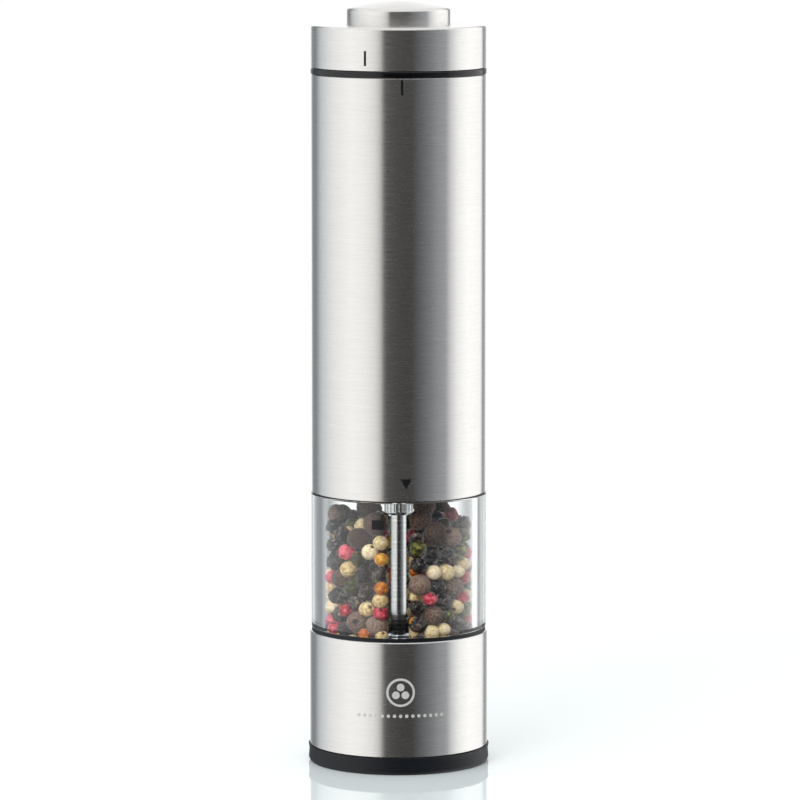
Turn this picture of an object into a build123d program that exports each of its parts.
from build123d import *
import math
import os

# Push-button battery pepper mill: steel grinder sleeve, clear chamber, steel motor tube, screw-free cap.
# Millimetres, +Z up, origin at the centre of the underside, -Y is the front with the lock marks.
# Stack of three: the grinder base stands below, the motor tube twists and lifts off it to fill the
# chamber, and the cap twists and lifts off the tube to change the cells.

# ---- outside ------------------------------------------------------------------------------------
body_radius = 25.0        # steel motor tube
foot_flare = 1.1          # the other rings stand this far outside the motor tube
sleeve_proud = 0.6
chamber_proud = 0.2
top_ring_proud = 0.15
cap_proud = 0.05
foot_height = 5.0
sleeve_height = 33.2
reveal_height = 1.1       # dark line between sleeve and chamber
chamber_height = 39.1
tube_height = 119.9
top_ring_height = 1.8
cap_height = 12.2
button_radius = 14.8
button_rise = 4.3
button_crown = 2.5
button_travel = 2.5

# ---- walls and clearances -----------------------------------------------------------------------
steel_wall = 0.6
chamber_wall = 3.8
neck_wall = 1.6           # chamber's neck, inside the motor tube
spigot_wall = 2.0         # chamber's spigot, inside the grinder housing
fit = 0.05                # fixed parts pushed together, each side
running = 0.06            # shafts in bushes, each side
twist_gap = 0.05          # lobe to land of the twist locks
seam = 0.1                # visible joints between assemblies
button_gap = 0.15

# ---- twist locks: three shallow lobes that wedge on lands, and pockets where they run free ---------
lobe_count = 3
lobe_height = 0.25
lobe_width = 16.0         # degrees
pocket_width = 19.0
body_unlock = 18.3        # degrees, clockwise from above
cap_unlock = 24.4         # degrees, anticlockwise from above

# ---- grinder ------------------------------------------------------------------------------------
mouth_depth = 8.0
cover_floor = 1.6
cover_spigot = 5.0
cover_wall = 1.2
burr_radius = 18.0
burr_height = 10.0
burr_mouth_radius = 13.5
burr_throat_radius = 9.5
grind_gap = 0.4
burr_teeth = 30
burr_drop = 0.525         # coarsest setting
throat_lip = 2.0
throat_radius = 12.0
spigot_depth = 5.3
spider_height = 3.0
spider_arm = 3.0
auger_gap = 2.2
auger_radius = 6.5
carrier_radius = 4.5
carrier_flange = 1.2
shaft_radius = 2.2
shaft_flats = 3.7         # across the flats of its lower end
knob_radius = 8.5
knob_height = 3.6
nut_height = 1.4
bush_wall = 1.4
spring_wire = 0.3

# ---- drive --------------------------------------------------------------------------------------
socket_radius = 4.2
socket_drop = 6.6         # below the tube's lower edge
shaft_reach = 2.1         # above the tube's lower edge
dog_radius = 3.2
dog_width = 1.6
dog_height = 3.9
neck_height = 7.6
seal_height = 0.9
floor_height = 3.0
gear_module = 0.6
sun_teeth = 12
planet_teeth = 18
ring_teeth = sun_teeth + 2 * planet_teeth
planet_count = 3
pressure_angle = math.radians(25)
backlash = 0.1
gear_width = 5.0
gear_gap = 0.25
gear_wall = 2.35
out_plate_height = 2.0
in_plate_height = 1.6
pin_radius = 1.0
head_room = 1.8
cover_height = 1.5
motor_radius = 12.2
motor_length = 26.0
motor_wall = 0.8
motor_shaft_radius = 1.0
end_cap_height = 2.0

# ---- cells and cap ------------------------------------------------------------------------------
cell_radius = 7.15
cell_length = 50.5        # with the positive stud
cell_stud_radius = 2.6
cell_stud_height = 1.3
cell_gap = 0.3
cell_drop = 2.8           # cells' upper end below the tube's edge
cell_wall = 0.9
contact_height = 4.0
contact_sheet = 0.4
holder_floor = 2.0
holder_skin = 1.0
ring_skirt = 7.3
ring_wall = 1.5
cap_skirt = 6.1
cap_wall = 1.6
diaphragm_height = 2.0

# ---- levels -------------------------------------------------------------------------------------
z_sleeve = foot_height
z_reveal = z_sleeve + sleeve_height
z_chamber = z_reveal + reveal_height
z_tube = z_chamber + chamber_height
z_tube_top = z_tube + tube_height
z_cap = z_tube_top + top_ring_height
z_cap_top = z_cap + cap_height
z_button_edge = z_cap_top + button_rise
z_button_top = z_button_edge + button_crown

z_burr = z_sleeve + mouth_depth
z_throat = z_burr + burr_height
z_funnel = z_throat + throat_lip
z_spigot = z_chamber - spigot_depth
z_spider = z_spigot - spider_height
z_auger = z_spider - auger_gap
z_carrier = z_burr - carrier_flange
z_carrier_top = z_auger - 4.0
z_knob_top = z_carrier - burr_drop - 0.25
z_knob = z_knob_top - knob_height
z_nut = z_knob - nut_height
z_shaft = z_nut - 0.2

z_neck = z_tube + neck_height
z_ceiling = z_neck + seal_height + seam
z_gear = z_ceiling + floor_height
z_out_plate = z_gear + 0.4
z_out_gears = z_out_plate + out_plate_height + gear_gap
z_in_plate = z_out_gears + gear_width + gear_gap
z_in_gears = z_in_plate + in_plate_height + gear_gap
z_gear_cover = z_in_gears + gear_width + head_room
z_motor = z_gear_cover + cover_height
z_motor_top = z_motor + motor_length

z_cell_top = z_tube_top - cell_drop
z_cell = z_cell_top - cell_length
z_holder = z_cell - contact_height
z_holder_base = z_holder - holder_floor
z_ring_skirt = z_tube_top - ring_skirt
z_cap_contact = z_cell_top + 0.5
z_diaphragm = z_cap_contact + contact_sheet

# ---- radii that follow --------------------------------------------------------------------------
cell_bore = cell_radius + cell_gap
cell_circle = (2 * cell_bore + cell_wall) / math.sqrt(2)   # axis of each cell from the mill's axis
foot_radius = body_radius + foot_flare
sleeve_radius = body_radius + sleeve_proud
chamber_radius = body_radius + chamber_proud
chamber_bore = chamber_radius - chamber_wall
neck_radius = chamber_bore + neck_wall
spigot_radius = chamber_bore + spigot_wall
housing_radius = sleeve_radius - steel_wall - fit
mouth_radius = chamber_bore + 0.6
tube_bore = body_radius - steel_wall
insert_radius = tube_bore - fit
land_radius = neck_radius + lobe_height + twist_gap
ring_land = insert_radius - ring_wall
skirt_radius = ring_land - lobe_height - twist_gap
cap_radius = body_radius + cap_proud
liner_radius = cap_radius - steel_wall - fit
sun_pitch = gear_module * sun_teeth / 2
planet_pitch = gear_module * planet_teeth / 2
ring_pitch = gear_module * ring_teeth / 2
planet_orbit = sun_pitch + planet_pitch
ring_outer = ring_pitch + 1.25 * gear_module + gear_wall


# ---- shapes used many times ---------------------------------------------------------------------
def turn(*points, mode=Mode.ADD):
    """Revolve an outline of (radius, height) points about the mill's axis."""
    with BuildSketch(Plane.XZ) as outline:
        with BuildLine():
            Polyline(*points, close=True)
        make_face()
    revolve(outline.sketch, axis=Axis.Z, mode=mode)


def ring(inner, outer, bottom, top, mode=Mode.ADD):
    """A plain ring, or a disc where inner is 0."""
    turn((inner, bottom), (outer, bottom), (outer, top), (inner, top), mode=mode)


def polar(radius, degrees):
    """A point at this radius and angle."""
    return (radius * math.cos(math.radians(degrees)), radius * math.sin(math.radians(degrees)))


def arc_band(inner, outer, middle, width):
    """Flat sector of a ring, centred on the angle middle."""
    start = middle - width / 2
    end = middle + width / 2
    with BuildSketch() as band:
        with BuildLine():
            CenterArc((0, 0), outer, start, width)
            Line(polar(outer, end), polar(inner, end))
            CenterArc((0, 0), inner, end, -width)
            Line(polar(inner, start), polar(outer, start))
        make_face()
    return band.sketch


def slab(sketch, bottom, top, mode=Mode.ADD):
    """Extrude a flat sketch between two heights."""
    extrude(Plane.XY.offset(bottom) * sketch, amount=top - bottom, mode=mode)


def gear_face(teeth, thickness, addendum, dedendum, phase):
    """Involute gear outline with one tooth centred on the angle phase (degrees)."""
    pitch = gear_module * teeth / 2
    base = pitch * math.cos(pressure_angle)
    root = pitch - dedendum * gear_module
    tip = pitch + addendum * gear_module
    involute = math.tan(pressure_angle) - pressure_angle
    flank_start = max(root, base)
    steps = 4
    half_angles = []
    for step in range(steps + 1):
        radius = flank_start + (tip - flank_start) * step / steps
        roll = math.acos(min(1.0, base / radius))
        half = thickness / (2 * pitch) + involute - (math.tan(roll) - roll)
        half_angles.append((radius, math.degrees(half)))
    if root < base:
        half_angles.insert(0, (root, half_angles[0][1]))
    points = []
    for tooth in range(teeth):
        middle = phase + tooth * 360 / teeth
        points += [polar(radius, middle - half) for radius, half in half_angles]
        points += [polar(radius, middle + half) for radius, half in reversed(half_angles)]
    with BuildSketch() as outline:
        with BuildLine():
            Polyline(*points, close=True)
        make_face()
    return outline.sketch


def outer_gear(teeth, phase):
    """Sun or planet outline, thinned for backlash."""
    return gear_face(teeth, math.pi * gear_module / 2 - backlash / 2, 1.0, 1.25, phase)


def coil(bottom, top, radius, turns):
    """Helical spring along the mill's axis, its wire's skin inside the two heights."""
    height = top - bottom - 2 * spring_wire
    with BuildLine() as path:
        Helix(height / turns, height, radius, center=(0, 0, bottom + spring_wire))
    with BuildSketch(Plane(origin=path.line @ 0, z_dir=path.line % 0)) as section:
        Circle(spring_wire)
    sweep(section.sketch, path=path.line, is_frenet=True)


def squared(extra):
    """The shaft's lower section: a circle with four flats."""
    with BuildSketch() as section:
        Circle(shaft_radius + extra)
        Rectangle(shaft_flats + 2 * extra, shaft_flats + 2 * extra, mode=Mode.INTERSECT)
    return section.sketch


# ==== grinder base ===============================================================================
spigot_outer = mouth_radius - seam
cover_edge = 0.8
with BuildPart() as dust_cover:
    turn(
        (0, 0), (foot_radius - cover_edge, 0), (foot_radius, cover_edge),
        (foot_radius - 0.2, z_sleeve - seam), (spigot_outer, z_sleeve - seam),
        (spigot_outer, z_sleeve - seam + cover_spigot),
        (spigot_outer - cover_wall, z_sleeve - seam + cover_spigot),
        (spigot_outer - cover_wall, cover_floor), (0, cover_floor),
    )
    outer_edges = dust_cover.edges().filter_by(GeomType.CIRCLE).sort_by(SortBy.RADIUS)
    fillet([edge for edge in outer_edges if edge.radius > foot_radius - cover_edge - 0.1], 0.35)
    # Three snap pips on the spigot that click past the housing's mouth.
    with BuildSketch(Plane.XY.offset(z_sleeve + cover_spigot - 1.6)):
        with PolarLocations(0, 3):
            add(arc_band(spigot_outer - 0.3, mouth_radius - 0.03, 0, 10))
    extrude(amount=1.0)

with BuildPart() as grinder_sleeve:
    ring(sleeve_radius - steel_wall, sleeve_radius, z_sleeve, z_reveal)
    rims = grinder_sleeve.edges().filter_by(GeomType.CIRCLE).sort_by(SortBy.RADIUS)[-2:]
    fillet(rims, 0.25)

screw_circle = (burr_radius + mouth_radius) / 2
with BuildPart() as grinder_housing:
    turn(
        (housing_radius, z_sleeve + fit), (housing_radius, z_reveal),
        (body_radius, z_reveal), (body_radius, z_chamber),
        (spigot_radius + fit, z_chamber), (spigot_radius + fit, z_spigot),
        (chamber_bore, z_spigot), (chamber_bore, z_spider),
        (throat_radius, z_funnel), (throat_radius, z_throat),
        (burr_radius + fit, z_throat), (burr_radius + fit, z_burr),
        (mouth_radius, z_burr), (mouth_radius, z_sleeve + fit),
    )
    with BuildSketch(Plane.XY.offset(z_burr)):
        with PolarLocations(screw_circle, 3):
            Circle(0.8)
    extrude(amount=6.0, mode=Mode.SUBTRACT)

burr_slope = (burr_mouth_radius - burr_throat_radius) / burr_height
flank = math.hypot(burr_height, burr_mouth_radius - burr_throat_radius)
burr_middle = (burr_mouth_radius + burr_throat_radius) / 2


def tooth_plane(radius, height):
    """Plane across a burr's slanting tooth, looking up the cone."""
    up = Vector(-burr_slope, 0.35, 1).normalized()
    return Plane(origin=(radius, 0, height), x_dir=(0, 1, 0.0), z_dir=up)


with BuildPart(mode=Mode.PRIVATE) as ring_groove:
    with BuildSketch(tooth_plane(burr_middle, z_burr + burr_height / 2)):
        Rectangle(1.1, 1.1, rotation=45)
    extrude(amount=flank * 0.75, both=True)

with BuildPart() as burr_ring:
    turn(
        (burr_mouth_radius, z_burr), (burr_radius, z_burr),
        (burr_radius, z_throat), (burr_throat_radius, z_throat),
    )
    with PolarLocations(0, burr_teeth):
        add(ring_groove.part, mode=Mode.SUBTRACT)

with BuildPart() as burr_retainer:
    ring(burr_mouth_radius + 0.8, mouth_radius - 0.3, z_burr - 1.4, z_burr)
    with BuildSketch(Plane.XY.offset(z_burr)):
        with PolarLocations(screw_circle, 3):
            Circle(1.1)
    extrude(amount=-1.4, mode=Mode.SUBTRACT)

with BuildPart() as retainer_screws:
    with BuildSketch(Plane.XY.offset(z_burr - 1.4)):
        with PolarLocations(screw_circle, 3):
            Circle(0.8)
    extrude(amount=6.4)
    with BuildSketch(Plane.XY.offset(z_burr - 1.4)):
        with PolarLocations(screw_circle, 3):
            Circle(1.5)
            Rectangle(1.9, 0.45, mode=Mode.SUBTRACT)
    extrude(amount=-0.9)

with BuildPart() as chamber:
    turn(
        (chamber_bore, z_spigot), (spigot_radius, z_spigot), (spigot_radius, z_chamber),
        (chamber_radius, z_chamber), (chamber_radius, z_tube - seam),
        (neck_radius, z_tube - seam), (neck_radius, z_neck), (chamber_bore, z_neck),
    )
    outer_rims = chamber.edges().filter_by(GeomType.CIRCLE).sort_by(SortBy.RADIUS)
    fillet([edge for edge in outer_rims if edge.radius > chamber_radius - 0.01], 0.4)
    with BuildSketch(Plane.XY.offset(z_tube + 1.6)):
        with PolarLocations(0, lobe_count):
            add(arc_band(neck_radius - 0.3, neck_radius + lobe_height, 0, lobe_width))
    extrude(amount=4.0)

hub_radius = shaft_radius + running + bush_wall
with BuildPart() as shaft_spider:
    ring(chamber_bore - 2.0, chamber_bore - fit, z_spider, z_spigot)
    ring(hub_radius, hub_radius + 1.6, z_spider, z_spigot)
    with BuildSketch(Plane.XY.offset(z_spider)):
        with PolarLocations((chamber_bore + hub_radius) / 2, 3):
            Rectangle(chamber_bore - hub_radius - 2.0, spider_arm)
    extrude(amount=spider_height)

with BuildPart() as spider_bush:
    ring(shaft_radius + running, hub_radius, z_spider, z_spigot)

# ==== grinding shaft, burr and knob ==============================================================
z_dog = z_tube + shaft_reach - dog_height - 0.6
with BuildPart() as drive_shaft:
    slab(squared(0), z_shaft, z_spider - 0.3)
    ring(0, shaft_radius, z_spider - 0.3, z_tube + shaft_reach)
    with BuildSketch(Plane.XY.offset(z_dog)):
        Rectangle(2 * dog_radius, dog_width)
        Circle(dog_radius, mode=Mode.INTERSECT)
    extrude(amount=dog_height)
    chamfer(drive_shaft.faces().sort_by(Axis.Z)[-1].edges(), 0.4)

z_agitator = z_spigot + 0.4
agitator_height = 2.2
with BuildPart() as agitator:
    ring(shaft_radius + fit, shaft_radius + 1.1, z_agitator, z_agitator + agitator_height)
    arm_plane = Plane(
        origin=(0, 0, z_agitator + agitator_height / 2), x_dir=(1, 0, 0), z_dir=(0, 0.5, 1)
    )
    with BuildSketch(arm_plane):
        with PolarLocations(shaft_radius + 5.5, 2):
            Rectangle(10.0, 2.6)
    extrude(amount=0.4, both=True)

with BuildPart() as burr_spring:
    coil(z_carrier_top, z_spider, shaft_radius + 1.3, 5)

cone_mouth = burr_mouth_radius - grind_gap
cone_throat = burr_throat_radius - grind_gap
with BuildPart(mode=Mode.PRIVATE) as cone_groove:
    with BuildSketch(tooth_plane((cone_mouth + cone_throat) / 2, z_burr + burr_height / 2)):
        Rectangle(1.0, 1.0, rotation=45)
    extrude(amount=flank * 0.75, both=True)

with BuildPart() as burr_cone:
    turn(
        (carrier_radius, z_burr), (cone_mouth, z_burr), (cone_throat, z_throat),
        (auger_radius, z_auger), (carrier_radius, z_auger),
    )
    with PolarLocations(0, burr_teeth - 6):
        add(cone_groove.part, mode=Mode.SUBTRACT)
    # Four deep flutes that draw whole corns down into the teeth.
    with BuildSketch(Plane.XY.offset(z_auger)):
        with PolarLocations(auger_radius + 2.0, 4):
            Circle(2.4)
    extrude(amount=z_throat - z_auger - 2.0, mode=Mode.SUBTRACT)

with BuildPart() as burr_carrier:
    ring(0, carrier_radius, z_burr, z_carrier_top)
    ring(0, carrier_radius + 3.5, z_carrier, z_burr)
    slab(squared(running), z_carrier, z_carrier_top, mode=Mode.SUBTRACT)

with BuildPart() as adjust_knob:
    with BuildSketch(Plane.XY.offset(z_knob)):
        Circle(knob_radius)
        with PolarLocations(knob_radius + 0.9, 10):
            Circle(1.7, mode=Mode.SUBTRACT)
    extrude(amount=knob_height)
    ring(0, shaft_radius + running, z_knob, z_knob_top, mode=Mode.SUBTRACT)

with BuildPart() as knob_nut:
    with BuildSketch(Plane.XY.offset(z_nut)):
        RegularPolygon(3.5, 6)
    extrude(amount=nut_height)
    slab(squared(0), z_nut, z_knob, mode=Mode.SUBTRACT)

# ==== motor tube =================================================================================
with BuildPart() as chamber_seal:
    ring(chamber_bore + seam, neck_radius - seam, z_neck + seam / 2, z_neck + seam / 2 + seal_height)

with BuildPart() as body_tube:
    ring(tube_bore, body_radius, z_tube, z_tube_top)
    rims = body_tube.edges().filter_by(GeomType.CIRCLE).sort_by(SortBy.RADIUS)[-2:]
    fillet(rims, 0.25)

bush_radius = socket_radius + 1.8
gearbox_screw_circle = ring_outer + 2.0
with BuildPart() as tube_collar:
    turn(
        (land_radius, z_tube + 0.2), (insert_radius, z_tube + 0.2), (insert_radius, z_gear),
        (bush_radius, z_gear), (bush_radius, z_ceiling), (land_radius, z_ceiling),
    )
    with BuildSketch(Plane.XY.offset(z_tube + 0.2)):
        with PolarLocations(0, lobe_count):
            add(arc_band(land_radius - 0.3, land_radius + lobe_height, body_unlock, pocket_width))
    extrude(amount=neck_height - 0.4, mode=Mode.SUBTRACT)
    with BuildSketch(Plane.XY.offset(z_gear)):
        with PolarLocations(gearbox_screw_circle, 3, start_angle=30):
            Circle(1.0)
    extrude(amount=-2.4, mode=Mode.SUBTRACT)

journal_radius = socket_radius - 0.2
with BuildPart() as output_bush:
    ring(journal_radius + running, bush_radius, z_ceiling, z_gear)

ear_radius = 3.2
with BuildPart() as gear_housing:
    with BuildSketch(Plane.XY.offset(z_gear)):
        Circle(ring_outer)
        with PolarLocations(gearbox_screw_circle, 3, start_angle=30):
            Circle(ear_radius)
        with PolarLocations(gearbox_screw_circle, 3, start_angle=30):
            Circle(1.15, mode=Mode.SUBTRACT)
    extrude(amount=z_gear_cover - z_gear)
    space = math.pi * gear_module / 2 + backlash / 2
    half_pitch = 180 / ring_teeth
    slab(gear_face(ring_teeth, space, 1.25, 0.9, half_pitch), z_gear, z_gear_cover, mode=Mode.SUBTRACT)

motor_boss_radius = 3.0
motor_screw_circle = 8.0
with BuildPart() as gear_cover:
    with BuildSketch(Plane.XY.offset(z_gear_cover)):
        Circle(ring_outer)
        with PolarLocations(gearbox_screw_circle, 3, start_angle=30):
            Circle(ear_radius)
        with PolarLocations(gearbox_screw_circle, 3, start_angle=30):
            Circle(1.15, mode=Mode.SUBTRACT)
        with PolarLocations(motor_screw_circle, 2):
            Circle(1.1, mode=Mode.SUBTRACT)
        Circle(motor_boss_radius + fit, mode=Mode.SUBTRACT)
    extrude(amount=cover_height)

with BuildPart() as gearbox_screws:
    with BuildSketch(Plane.XY.offset(z_gear - 2.4)):
        with PolarLocations(gearbox_screw_circle, 3, start_angle=30):
            Circle(1.0)
    extrude(amount=z_motor - z_gear + 2.4)
    with BuildSketch(Plane.XY.offset(z_motor)):
        with PolarLocations(gearbox_screw_circle, 3, start_angle=30):
            Circle(1.9)
            Rectangle(2.4, 0.5, mode=Mode.SUBTRACT)
    extrude(amount=1.2)

with BuildPart() as motor_can:
    ring(0, motor_radius, z_motor, z_motor_top)
    ring(0, motor_boss_radius, z_gear_cover, z_motor)
    ring(0, motor_radius - motor_wall, z_motor + 1.2, z_motor_top, mode=Mode.SUBTRACT)
    ring(0, motor_shaft_radius + running, z_gear_cover, z_motor + 1.2, mode=Mode.SUBTRACT)
    with BuildSketch(Plane.XY.offset(z_motor)):
        with PolarLocations(motor_screw_circle, 2):
            Circle(0.9)
    extrude(amount=1.2, mode=Mode.SUBTRACT)

magnet_height = motor_length - 8.0
magnet_thickness = 2.4
magnet_radius = motor_radius - motor_wall - fit
with BuildPart() as motor_magnets:
    with BuildSketch(Plane.XY.offset(z_motor + 3.0)):
        with PolarLocations(0, 2, start_angle=90):
            add(arc_band(magnet_radius - magnet_thickness, magnet_radius, 0, 110))
    extrude(amount=magnet_height)

with BuildPart() as motor_end_cap:
    ring(motor_shaft_radius + running, motor_radius - motor_wall, z_motor_top - 2.0, z_motor_top)
    ring(0, motor_radius, z_motor_top, z_motor_top + end_cap_height)
    ring(0, motor_shaft_radius + running, z_motor_top, z_motor_top + 1.0, mode=Mode.SUBTRACT)

with BuildPart() as motor_screws:
    with BuildSketch(Plane.XY.offset(z_gear_cover)):
        with PolarLocations(motor_screw_circle, 2):
            Circle(0.9)
    extrude(amount=cover_height + 1.2)
    with BuildSketch(Plane.XY.offset(z_gear_cover)):
        with PolarLocations(motor_screw_circle, 2):
            Circle(1.7)
            Rectangle(2.2, 0.45, mode=Mode.SUBTRACT)
    extrude(amount=-1.0)

frame_skin = 1.2
with BuildPart() as motor_frame:
    ring(insert_radius - frame_skin, insert_radius, z_gear, z_holder_base)
    # Four tall windows let heat out and leave room for the screw ears.
    with BuildSketch(Plane.XY.offset(z_gear + 6.0)):
        with PolarLocations(0, 4, start_angle=45):
            add(arc_band(insert_radius - frame_skin - 1, insert_radius + 1, 0, 50))
    extrude(amount=z_holder_base - z_gear - 12.0, mode=Mode.SUBTRACT)

with BuildPart() as battery_holder:
    with BuildSketch(Plane.XY.offset(z_holder_base)):
        Circle(insert_radius)
        with PolarLocations(insert_radius - holder_skin - 0.9, 2):
            Rectangle(1.2, 4.4, mode=Mode.SUBTRACT)
        with PolarLocations(5.0, 2):
            Rectangle(1.2, 2.6, mode=Mode.SUBTRACT)
    extrude(amount=holder_floor)
    with BuildSketch(Plane.XY.offset(z_holder)):
        Circle(insert_radius)
        Circle(insert_radius - holder_skin, mode=Mode.SUBTRACT)
        with PolarLocations(cell_circle, 4, start_angle=45):
            Circle(cell_bore + cell_wall)
        Circle(cell_circle - cell_bore + 2.0)
        with PolarLocations((insert_radius + cell_circle + cell_bore) / 2, 4, start_angle=45):
            Rectangle(insert_radius - cell_circle - cell_bore, 1.2)
        with PolarLocations(cell_circle, 4, start_angle=45):
            Circle(cell_bore, mode=Mode.SUBTRACT)
    extrude(amount=z_ring_skirt - 0.5 - z_holder)

batteries = []
for number in range(4):
    x, y = polar(cell_circle, 45 + 90 * number)
    inverted = number % 2 == 1
    can_bottom = z_cell + cell_stud_height if inverted else z_cell
    stud_bottom = z_cell if inverted else z_cell_top - cell_stud_height
    with BuildPart() as battery:
        with BuildSketch(Plane.XY.offset(can_bottom)):
            with Locations((x, y)):
                Circle(cell_radius)
        extrude(amount=cell_length - cell_stud_height)
        fillet(battery.edges().filter_by(GeomType.CIRCLE), 0.6)
        with BuildSketch(Plane.XY.offset(stud_bottom)):
            with Locations((x, y)):
                Circle(cell_stud_radius)
        extrude(amount=cell_stud_height)
    batteries.append(battery)

with BuildPart() as battery_springs:
    for number in (0, 2):
        x, y = polar(cell_circle, 45 + 90 * number)
        spring_turns = 3
        spring_height = contact_height - contact_sheet - 2 * spring_wire
        with BuildLine() as path:
            Helix(spring_height / spring_turns, spring_height, 4.2,
                  center=(x, y, z_holder + contact_sheet + spring_wire))
        with BuildSketch(Plane(origin=path.line @ 0, z_dir=path.line % 0)) as section:
            Circle(spring_wire)
        sweep(section.sketch, path=path.line, is_frenet=True)

# Two sheet contacts join the cells in pairs at the bottom of the holder.
with BuildPart() as battery_plates:
    for number in (0, 2):
        x, y = polar(cell_circle, 45 + 90 * number)
        with BuildSketch(Plane.XY.offset(z_holder)):
            with Locations((x, y)):
                Circle(5.2)
        extrude(amount=contact_sheet)
        x, y = polar(cell_circle, 135 + 90 * number)
        with BuildSketch(Plane.XY.offset(z_holder)):
            with Locations((x, y)):
                Circle(5.2)
        extrude(amount=contact_sheet)
        with BuildSketch(Plane.XY.offset(z_holder)):
            with Locations((x, y)):
                Circle(2.2)
        extrude(amount=contact_height)

with BuildPart() as contact_strips:
    strip_radius = insert_radius - holder_skin - 0.9
    with BuildSketch(Plane.XY.offset(z_holder_base - 0.8)):
        with PolarLocations(strip_radius, 2):
            Rectangle(0.4, 4.0)
    extrude(amount=z_ring_skirt - 0.5 - z_holder_base + 0.8)
    with BuildSketch(Plane.XY.offset(z_holder_base - 0.8)):
        with PolarLocations((strip_radius + 4.0) / 2, 2):
            Rectangle(strip_radius - 4.0, 3.0)
    extrude(amount=0.4)

groove_inner = ring_land + 0.5
groove_outer = insert_radius - 0.1
with BuildPart() as top_ring:
    turn(
        (ring_land, z_ring_skirt), (insert_radius, z_ring_skirt), (insert_radius, z_tube_top),
        (body_radius + top_ring_proud, z_tube_top), (body_radius + top_ring_proud, z_cap),
        (groove_outer, z_cap), (groove_outer, z_cap - 1.0), (groove_inner, z_cap - 1.0),
        (groove_inner, z_cap), (ring_land, z_cap),
    )
    outer_rims = top_ring.edges().filter_by(GeomType.CIRCLE).sort_by(SortBy.RADIUS)[-2:]
    fillet(outer_rims, 0.3)
    with BuildSketch(Plane.XY.offset(z_ring_skirt)):
        with PolarLocations(0, lobe_count):
            add(arc_band(ring_land - 0.3, ring_land + lobe_height, cap_unlock, pocket_width))
    extrude(amount=z_cap - z_ring_skirt, mode=Mode.SUBTRACT)

# ==== gearbox and motor's turning parts ==========================================================
slot_free = body_unlock + 3.0
slot_back = math.degrees(math.asin(dog_width / 2 / shaft_radius)) + 1.5
with BuildPart() as drive_socket:
    turn(
        (0, z_tube - socket_drop), (socket_radius - 0.7, z_tube - socket_drop),
        (socket_radius, z_tube - socket_drop + 0.7), (socket_radius, z_ceiling - 0.4),
        (journal_radius, z_ceiling - 0.4), (journal_radius, z_out_plate),
        (3.0, z_out_plate), (3.0, z_out_plate + out_plate_height),
        (0, z_out_plate + out_plate_height),
    )
    bore_top = z_tube + shaft_reach + 0.6
    ring(0, shaft_radius + running, z_tube - socket_drop, bore_top, mode=Mode.SUBTRACT)
    # The shaft's dog has a free arc, so that the tube can twist without turning the burr.
    slot_width = 2 * slot_back + slot_free
    with BuildSketch(Plane.XY.offset(z_tube - socket_drop)):
        with PolarLocations(0, 2):
            add(arc_band(1.0, dog_radius + 0.12, slot_free / 2, slot_width))
    extrude(amount=z_dog + dog_height + 0.5 - z_tube + socket_drop, mode=Mode.SUBTRACT)
    with BuildSketch(Plane.XY.offset(z_tube - socket_drop + 0.9)):
        with PolarLocations(socket_radius + 0.12, 24):
            Circle(0.32)
    extrude(amount=9.0, mode=Mode.SUBTRACT)

carrier_disc = planet_orbit + 2.6
with BuildPart() as output_carrier:
    ring(3.0, carrier_disc, z_out_plate, z_out_plate + out_plate_height)
    with BuildSketch(Plane.XY.offset(z_out_plate)):
        with PolarLocations(planet_orbit, planet_count):
            Circle(pin_radius)
    extrude(amount=out_plate_height, mode=Mode.SUBTRACT)

with BuildPart() as output_pins:
    with BuildSketch(Plane.XY.offset(z_out_plate)):
        with PolarLocations(planet_orbit, planet_count):
            Circle(pin_radius)
    extrude(amount=z_out_gears + gear_width - z_out_plate)

with BuildPart() as stage_carrier:
    ring(0, carrier_disc, z_in_plate, z_in_plate + in_plate_height)
    with BuildSketch(Plane.XY.offset(z_in_plate)):
        with PolarLocations(planet_orbit, planet_count):
            Circle(pin_radius)
    extrude(amount=in_plate_height, mode=Mode.SUBTRACT)
    slab(outer_gear(sun_teeth, 0), z_out_gears, z_in_plate)

with BuildPart() as stage_pins:
    with BuildSketch(Plane.XY.offset(z_in_plate)):
        with PolarLocations(planet_orbit, planet_count):
            Circle(pin_radius)
    extrude(amount=z_in_gears + gear_width - z_in_plate)


def planet(number, bottom):
    """One planet gear in mesh with the sun inside it and the ring outside it."""
    bearing = 360 / planet_count * number
    x, y = polar(planet_orbit, bearing)
    outline = outer_gear(planet_teeth, bearing + 180 / planet_teeth)
    with BuildPart() as gear:
        extrude(Plane((x, y, bottom)) * outline, amount=gear_width)
        with BuildSketch(Plane((x, y, bottom))):
            Circle(pin_radius + running)
        extrude(amount=gear_width, mode=Mode.SUBTRACT)
    return gear


output_planets = [planet(number, z_out_gears) for number in range(planet_count)]
stage_planets = [planet(number, z_in_gears) for number in range(planet_count)]

with BuildPart() as pinion:
    slab(outer_gear(sun_teeth, 0), z_in_gears, z_in_gears + gear_width)
    ring(0, motor_shaft_radius, z_in_gears, z_in_gears + gear_width, mode=Mode.SUBTRACT)

with BuildPart() as motor_shaft:
    ring(0, motor_shaft_radius, z_in_gears, z_motor_top + 0.8)

armature_radius = magnet_radius - magnet_thickness - 0.4
with BuildPart() as motor_armature:
    with BuildSketch(Plane.XY.offset(z_motor + 4.0)):
        Circle(armature_radius)
        with PolarLocations(armature_radius, 3, start_angle=60):
            Rectangle(9.0, 1.6, mode=Mode.SUBTRACT)
        Circle(motor_shaft_radius, mode=Mode.SUBTRACT)
    extrude(amount=magnet_height - 3.0)
    ring(motor_shaft_radius, 3.0, z_motor + 1.0 + magnet_height, z_motor + 4.0 + magnet_height)

# ==== cap and button =============================================================================
with BuildPart() as cap_seal:
    ring(groove_inner + 0.1, groove_outer - 0.1, z_cap - 1.0 + fit, z_cap + fit)

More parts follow.
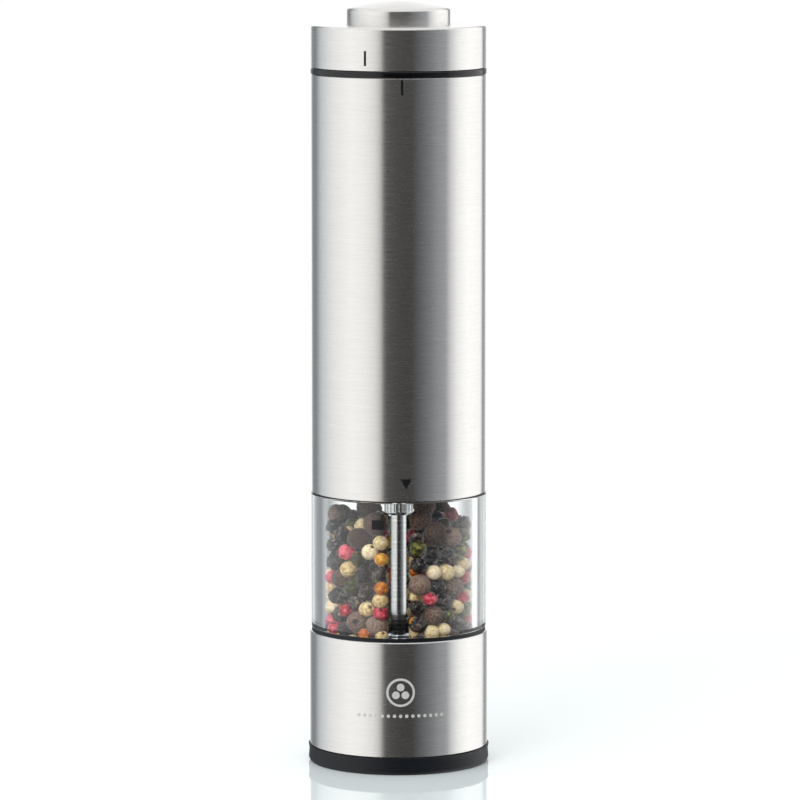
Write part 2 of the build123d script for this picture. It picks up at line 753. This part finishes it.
z_shell = z_cap + seam
hole_radius = button_radius + button_gap
with BuildPart() as cap_shell:
    turn(
        (cap_radius - steel_wall, z_shell), (cap_radius, z_shell), (cap_radius, z_cap_top),
        (hole_radius, z_cap_top), (hole_radius, z_cap_top - steel_wall),
        (cap_radius - steel_wall, z_cap_top - steel_wall),
    )
    outer_rims = cap_shell.edges().filter_by(GeomType.CIRCLE).sort_by(SortBy.RADIUS)[-2:]
    fillet(outer_rims, 0.4)

guide_wall = 1.2
guide_depth = 4.4
z_guide = z_cap_top - steel_wall - guide_depth
z_liner_top = z_cap_top - steel_wall
liner_skin = 1.4
with BuildPart() as cap_liner:
    turn(
        (skirt_radius - cap_wall, z_tube_top - cap_skirt), (skirt_radius, z_tube_top - cap_skirt),
        (skirt_radius, z_shell + 0.1), (liner_radius, z_shell + 0.1), (liner_radius, z_liner_top),
        (hole_radius, z_liner_top), (hole_radius, z_guide), (hole_radius + guide_wall, z_guide),
        (hole_radius + guide_wall, z_liner_top - liner_skin),
        (liner_radius - liner_skin, z_liner_top - liner_skin),
        (liner_radius - liner_skin, z_shell + 1.5), (skirt_radius - cap_wall, z_shell + 1.5),
    )
    ring(0, skirt_radius - cap_wall, z_diaphragm, z_diaphragm + diaphragm_height)
    with BuildSketch(Plane.XY.offset(z_tube_top - cap_skirt)):
        with PolarLocations(0, lobe_count):
            add(arc_band(skirt_radius - 0.3, skirt_radius + lobe_height, 0, lobe_width))
    extrude(amount=4.0)

with BuildPart() as cap_contacts:
    for middle in (0, 180):
        with BuildSketch(Plane.XY.offset(z_cap_contact)):
            add(arc_band(cell_circle - 3.4, cell_circle + 3.4, middle + 90, 124))
        extrude(amount=contact_sheet)

z_switch = z_diaphragm + diaphragm_height
with BuildPart() as switch_contacts:
    for middle in (0, 180):
        with BuildSketch(Plane.XY.offset(z_switch)):
            add(arc_band(1.5, 4.6, middle, 130))
        extrude(amount=0.8)

plunger_radius = button_radius - steel_wall - fit
plunger_flange = hole_radius + 0.9
z_flange = z_guide - 0.1 - 1.4
z_plunger_roof = z_button_edge - 3.0
with BuildPart() as button_cap:
    with BuildSketch(Plane.XZ) as half:
        with BuildLine():
            inner_radius = button_radius - steel_wall
            z_roof = z_button_edge - steel_wall
            Line((inner_radius, z_guide + 0.4), (button_radius, z_guide + 0.4))
            Line((button_radius, z_guide + 0.4), (button_radius, z_button_edge))
            ThreePointArc(
                (button_radius, z_button_edge),
                (button_radius * 0.52, z_button_top - button_crown * 0.27),
                (0, z_button_top),
            )
            Line((0, z_button_top), (0, z_roof))
            Line((0, z_roof), (inner_radius, z_roof))
            Line((inner_radius, z_roof), (inner_radius, z_guide + 0.4))
        make_face()
    revolve(axis=Axis.Z)
    shoulder = [edge for edge in button_cap.edges().filter_by(GeomType.CIRCLE)
                if abs(edge.radius - button_radius) < 0.01 and edge.center().Z > z_cap_top]
    fillet(shoulder, 0.8)

stem_radius = 3.0
z_disc = z_switch + 0.8 + button_travel + 0.2
with BuildPart() as button_plunger:
    ring(0, plunger_radius, z_guide + 0.4, z_button_edge - steel_wall - fit)
    ring(0, plunger_flange, z_flange, z_guide - 0.1)
    ring(0, button_radius - 0.3, z_guide - 0.1, z_guide + 0.4)
    ring(stem_radius, plunger_radius - 1.6, z_flange, z_plunger_roof, mode=Mode.SUBTRACT)
    ring(0, stem_radius, z_disc + 0.4, z_flange)

with BuildPart() as contact_disc:
    ring(0, 4.4, z_disc, z_disc + 0.4)

with BuildPart() as button_spring:
    coil(z_switch, z_plunger_roof, 7.2, 6)

# ==== write each piece ===========================================================================
pieces = {
    "dust_cover": dust_cover,
    "grinder_sleeve": grinder_sleeve,
    "grinder_housing": grinder_housing,
    "burr_ring": burr_ring,
    "burr_retainer": burr_retainer,
    "retainer_screws": retainer_screws,
    "chamber": chamber,
    "shaft_spider": shaft_spider,
    "spider_bush": spider_bush,
    "drive_shaft": drive_shaft,
    "agitator": agitator,
    "burr_spring": burr_spring,
    "burr_cone": burr_cone,
    "burr_carrier": burr_carrier,
    "adjust_knob": adjust_knob,
    "knob_nut": knob_nut,
    "chamber_seal": chamber_seal,
    "body_tube": body_tube,
    "tube_collar": tube_collar,
    "output_bush": output_bush,
    "gear_housing": gear_housing,
    "gear_cover": gear_cover,
    "gearbox_screws": gearbox_screws,
    "motor_can": motor_can,
    "motor_magnets": motor_magnets,
    "motor_end_cap": motor_end_cap,
    "motor_screws": motor_screws,
    "motor_frame": motor_frame,
    "battery_holder": battery_holder,
    "battery_springs": battery_springs,
    "battery_plates": battery_plates,
    "contact_strips": contact_strips,
    "top_ring": top_ring,
    "drive_socket": drive_socket,
    "output_carrier": output_carrier,
    "output_pins": output_pins,
    "stage_carrier": stage_carrier,
    "stage_pins": stage_pins,
    "pinion": pinion,
    "motor_shaft": motor_shaft,
    "motor_armature": motor_armature,
    "cap_seal": cap_seal,
    "cap_shell": cap_shell,
    "cap_liner": cap_liner,
    "cap_contacts": cap_contacts,
    "switch_contacts": switch_contacts,
    "button_cap": button_cap,
    "button_plunger": button_plunger,
    "contact_disc": contact_disc,
    "button_spring": button_spring,
}
for number, battery in enumerate(batteries, start=1):
    pieces[f"battery_{number}"] = battery
for number, gear in enumerate(output_planets, start=1):
    pieces[f"output_planet_{number}"] = gear
for number, gear in enumerate(stage_planets, start=1):
    pieces[f"stage_planet_{number}"] = gear

os.makedirs("parts", exist_ok=True)
for name, piece in pieces.items():
    piece.part.label = name
    export_step(piece.part, f"parts/{name}.step")
